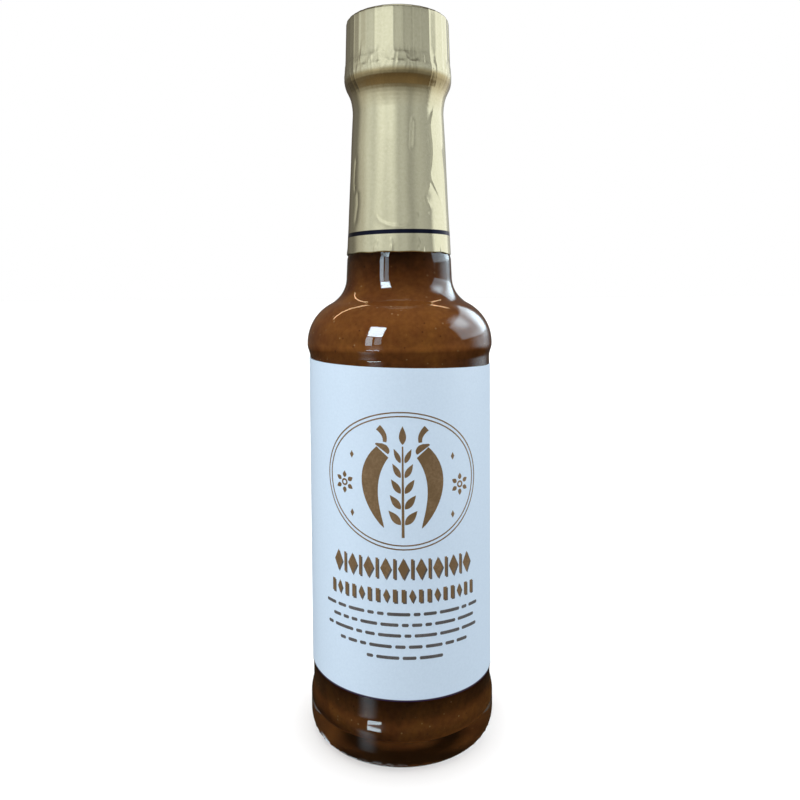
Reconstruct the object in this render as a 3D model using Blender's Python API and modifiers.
"""A clear glass sauce bottle, filled with brown hot sauce, closed under a gold shrink capsule and wrapped
in a white paper label. Metres, +Z up, standing on z = 0, with the front of the label facing -Y."""

import math

import bpy

MM = 0.001
SEGMENTS = 72
AXIS_MERGE = 0.00001

# Driving sizes of the glass, measured outside
BAND_RADIUS = 23.55 * MM
PANEL_RADIUS = 22.8 * MM
HEEL_CURVE_WIDTH = 2.8 * MM
HEEL_CURVE_HEIGHT = 4.4 * MM
HEEL_BAND_TOP = 8.6 * MM
PANEL_BOTTOM = 12.6 * MM
PANEL_TOP = 94.8 * MM
SHOULDER_BAND_BOTTOM = 98.0 * MM
SHOULDER_START = 98.25 * MM
NECK_START = 114.9 * MM
NECK_START_RADIUS = 13.48 * MM
NECK_CURVE = 7.45 * MM
MOUTH = 176.2 * MM

# The foot that the bottle stands on, and the hollow inside it
FOOT_INNER_RADIUS = 16.9 * MM
PUSH_UP_HEIGHT = 1.8 * MM
PUSH_UP_STEPS = 3

# Inside of the glass
WALL = 2.0 * MM
INNER_FLOOR = 4.9 * MM
INNER_HEEL_CURVE = 4.6 * MM
INNER_SHOULDER_START = 98.0 * MM
INNER_NECK_RADIUS = 10.4 * MM
INNER_NECK_TOP = 156.0 * MM
BORE_RADIUS = 7.6 * MM
LIP_CURVE = 0.7 * MM

# Sauce, up to a level in the neck
SAUCE_GAP = 0.3 * MM
SAUCE_LEVEL = 141.0 * MM

# Gold capsule, shrunk over the cap and the neck
FILM = 0.12 * MM
FILM_GAP = 0.25 * MM
CAPSULE_HEM = 120.4 * MM
CAPSULE_TOP = 178.7 * MM
HEM_RADIUS = 13.24 * MM
HEM_LEDGE = 0.8 * MM
NECK_WAIST = 157.5 * MM
NECK_WAIST_RADIUS = 11.4 * MM
NECK_BEND = 147.5 * MM
NECK_BEND_RADIUS = 11.95 * MM
CAP_UNDERSIDE = 160.2 * MM
CAP_EDGE = 163.6 * MM
CAP_EDGE_RADIUS = 13.46 * MM
FLATS_BOTTOM = 167.9 * MM
FLATS_BOTTOM_RADIUS = 13.22 * MM
FLATS_TOP_RADIUS = 12.92 * MM
FLATS_COUNT = SEGMENTS // 2
FLATS_TURN = math.radians(5.9)
TOP_CURVE = 0.9 * MM
TOP_RIM_WIDTH = 1.6 * MM
TOP_DISC_DEPTH = 0.3 * MM
CAP_ROOF = 2.0 * MM

# Wrap label, stuck on a little askew
LABEL_GAP = 0.25 * MM
LABEL_PAPER = 0.14 * MM
LABEL_WIDTH = 138.0 * MM
LABEL_BOTTOM = 16.7 * MM
LABEL_TOP = 93.8 * MM
LABEL_SKEW = 0.026


def arc(centre, radius, start_deg, end_deg, steps):
    """Points (radius, height) on an arc, from one angle to another, both ends included."""
    points = []
    for i in range(steps + 1):
        angle = math.radians(start_deg + (end_deg - start_deg) * i / steps)
        points.append((centre[0] + radius * math.cos(angle), centre[1] + radius * math.sin(angle)))
    return points


def eased_step(start, end, steps):
    """Points that run smoothly from one (radius, height) to another, upright at both ends, which are left out."""
    points = []
    for i in range(1, steps):
        share = i / steps
        eased = share * share * (3 - 2 * share)
        points.append((start[0] + (end[0] - start[0]) * eased, start[1] + (end[1] - start[1]) * share))
    return points


def shoulder(wide, narrow, narrow_curve, convex_steps, concave_steps):
    """The S-shaped shoulder as two tangent arcs, from the neck down to the body, both ends upright."""
    across = narrow[0] + narrow_curve - wide[0]
    rise = narrow[1] - wide[1]
    wide_curve = (across**2 + rise**2 - narrow_curve**2) / (2 * (narrow_curve - across))
    meet = math.degrees(math.atan2(rise, across + wide_curve))
    concave = arc((narrow[0] + narrow_curve, narrow[1]), narrow_curve, 180, 180 + meet, concave_steps)
    convex = arc((wide[0] - wide_curve, wide[1]), wide_curve, meet, 0, convex_steps)
    return concave + convex[1:]


def inner_wall(inset, top):
    """The inside of the glass from the height top down to the axis, drawn in by inset."""
    wall_radius = PANEL_RADIUS - WALL - inset
    neck_radius = INNER_NECK_RADIUS - inset
    neck_curve = NECK_START_RADIUS + NECK_CURVE - INNER_NECK_RADIUS + inset
    bore = BORE_RADIUS - inset
    share = min(1, (top - NECK_START) / (INNER_NECK_TOP - NECK_START))
    points = [(neck_radius + (bore - neck_radius) * share, top)]
    if top > INNER_NECK_TOP:
        points.append((bore, INNER_NECK_TOP))
    points += shoulder((wall_radius, INNER_SHOULDER_START), (neck_radius, NECK_START), neck_curve, 4, 3)
    heel_curve = INNER_HEEL_CURVE - inset
    floor = INNER_FLOOR + inset
    points += arc((wall_radius - heel_curve, floor + heel_curve), heel_curve, 0, -90, 4)
    return points + [(0, floor)]


def neck_film(height):
    """Outer radius of the capsule at a height between its hem and the waist of the neck."""
    stations = (
        (CAPSULE_HEM, HEM_RADIUS),
        (NECK_BEND, NECK_BEND_RADIUS),
        (NECK_WAIST, NECK_WAIST_RADIUS),
        (CAP_UNDERSIDE, NECK_WAIST_RADIUS),
    )
    for (low, low_radius), (high, high_radius) in zip(stations, stations[1:]):
        if height <= high:
            return low_radius + (high_radius - low_radius) * (height - low) / (high - low)
    return NECK_WAIST_RADIUS


def glass_profile():
    """From the middle of the inner floor up to the mouth, then down the outside to the middle of the foot."""
    inside = inner_wall(0, MOUTH - LIP_CURVE)[::-1]
    under_film = FILM + FILM_GAP
    finish_radius = NECK_WAIST_RADIUS - under_film
    lip = arc((BORE_RADIUS + LIP_CURVE, MOUTH - LIP_CURVE), LIP_CURVE, 135, 90, 1)
    lip += arc((finish_radius - LIP_CURVE, MOUTH - LIP_CURVE), LIP_CURVE, 90, 0, 2)
    neck = [(finish_radius, NECK_WAIST)]
    neck += [(neck_film(z) - under_film, z) for z in (NECK_BEND, CAPSULE_HEM)]
    neck.append((HEM_RADIUS, CAPSULE_HEM - HEM_LEDGE))
    body = shoulder((BAND_RADIUS, SHOULDER_START), (NECK_START_RADIUS, NECK_START), NECK_CURVE, 6, 4)
    low_panel = (PANEL_RADIUS, PANEL_BOTTOM)
    body.append((BAND_RADIUS, SHOULDER_BAND_BOTTOM))
    body += eased_step((BAND_RADIUS, SHOULDER_BAND_BOTTOM), (PANEL_RADIUS, PANEL_TOP), 4)
    body += [(PANEL_RADIUS, PANEL_TOP), low_panel]
    body += eased_step(low_panel, (BAND_RADIUS, HEEL_BAND_TOP), 4)
    body.append((BAND_RADIUS, HEEL_BAND_TOP))
    foot = []
    for across, down in arc((0, 0), 1, 0, -90, 5):
        foot.append((BAND_RADIUS + (across - 1) * HEEL_CURVE_WIDTH, (down + 1) * HEEL_CURVE_HEIGHT))
    for i in range(PUSH_UP_STEPS):
        share = i / PUSH_UP_STEPS
        foot.append((FOOT_INNER_RADIUS * (1 - share), PUSH_UP_HEIGHT * math.sin(share * math.pi / 2)))
    return inside + lip + neck + body + foot + [(0, PUSH_UP_HEIGHT)]


def capsule_profile():
    """From the middle of the top down the outside to the hem, then up inside along the glass."""
    rim_inner = FLATS_TOP_RADIUS - TOP_CURVE - TOP_RIM_WIDTH
    disc = CAPSULE_TOP - TOP_DISC_DEPTH
    outside = [(0, disc), (rim_inner - TOP_DISC_DEPTH, disc), (rim_inner, CAPSULE_TOP)]
    outside += arc((FLATS_TOP_RADIUS - TOP_CURVE, CAPSULE_TOP - TOP_CURVE), TOP_CURVE, 90, 0, 3)
    outside.append((FLATS_BOTTOM_RADIUS, FLATS_BOTTOM))
    fold = (CAP_EDGE_RADIUS, CAP_EDGE)
    outside += [(FLATS_BOTTOM_RADIUS + FILM, FLATS_BOTTOM - 5 * FILM), fold]
    outside += eased_step(fold, (NECK_WAIST_RADIUS, CAP_UNDERSIDE), 5)
    outside += [(neck_film(z), z) for z in (CAP_UNDERSIDE, NECK_WAIST, NECK_BEND)]
    outside.append((neck_film(CAPSULE_HEM), CAPSULE_HEM))
    inside = [(neck_film(z) - FILM, z) for z in (CAPSULE_HEM, NECK_BEND, NECK_WAIST)]
    roof = CAPSULE_TOP - CAP_ROOF
    return outside + inside + [(NECK_WAIST_RADIUS - FILM, roof), (0, roof)]


def make_material(name, colour, roughness, metallic=0.0, transmission=0.0):
    material = bpy.data.materials.new(name)
    material.use_nodes = True
    shader = material.node_tree.nodes["Principled BSDF"]
    shader.inputs["Base Color"].default_value = (*colour, 1.0)
    shader.inputs["Roughness"].default_value = roughness
    shader.inputs["Metallic"].default_value = metallic
    shader.inputs["Transmission Weight"].default_value = transmission
    return material


def turn(name, profile, material, collection, sweep=math.tau, rise=0.0):
    """An object made by turning a profile round the Z axis, climbing by rise over the sweep."""
    mesh = bpy.data.meshes.new(name)
    points = [(radius, 0.0, height) for radius, height in profile]
    mesh.from_pydata(points, [(i, i + 1) for i in range(len(points) - 1)], [])
    mesh.materials.append(material)
    made = bpy.data.objects.new(name, mesh)
    collection.objects.link(made)
    screw = made.modifiers.new("Turn", "SCREW")
    screw.angle = sweep
    screw.screw_offset = rise
    screw.steps = screw.render_steps = SEGMENTS
    screw.use_smooth_shade = True
    screw.use_merge_vertices = sweep == math.tau
    screw.merge_threshold = AXIS_MERGE
    return made


def press_flats(capsule):
    """Draws every second row of the cap's side in to the chord, so that the film shows the cap's flat ribs."""
    graph = bpy.context.evaluated_depsgraph_get()
    mesh = bpy.data.meshes.new_from_object(capsule.evaluated_get(graph))
    capsule.modifiers.clear()
    capsule.data = mesh
    chord = math.cos(math.pi / FLATS_COUNT)
    inner_limit = FLATS_TOP_RADIUS - TOP_CURVE
    for vertex in mesh.vertices:
        x, y, z = vertex.co
        row = round(math.atan2(y, x) / (math.tau / SEGMENTS))
        on_side = math.hypot(x, y) > inner_limit - AXIS_MERGE and z > FLATS_BOTTOM - AXIS_MERGE
        if on_side and row % 2:
            vertex.co.x = x * chord
            vertex.co.y = y * chord
    capsule.rotation_euler.z = FLATS_TURN


def make_label(material, collection):
    """A paper sheet round the panel, with its gap at the back and its edges running slightly downhill."""
    radius = PANEL_RADIUS + LABEL_GAP
    sweep = LABEL_WIDTH / radius
    drop = LABEL_SKEW * LABEL_WIDTH
    profile = [(radius, LABEL_TOP + drop / 2), (radius, LABEL_BOTTOM + drop / 2)]
    label = turn("label", profile, material, collection, sweep, -drop)
    paper = label.modifiers.new("Paper", "SOLIDIFY")
    paper.thickness = LABEL_PAPER
    paper.offset = 1.0
    label.rotation_euler.z = -math.pi / 2 - sweep / 2
    return label


def main():
    for old in list(bpy.data.objects):
        bpy.data.objects.remove(old)
    collection = bpy.data.collections.new("hot_sauce_bottle")
    bpy.context.scene.collection.children.link(collection)

    clear_glass = make_material("clear_glass", (0.95, 0.97, 0.96), 0.03, transmission=1.0)
    brown_sauce = make_material("brown_sauce", (0.17, 0.062, 0.018), 0.3)
    gold_film = make_material("gold_film", (0.62, 0.58, 0.37), 0.28, metallic=0.9)
    white_paper = make_material("white_paper", (0.64, 0.74, 0.84), 0.55)

    turn("glass_bottle", glass_profile(), clear_glass, collection)
    sauce_side = inner_wall(SAUCE_GAP, SAUCE_LEVEL)
    turn("sauce", [(0, SAUCE_LEVEL)] + sauce_side, brown_sauce, collection)
    capsule = turn("capsule", capsule_profile(), gold_film, collection)
    press_flats(capsule)
    make_label(white_paper, collection)


main()
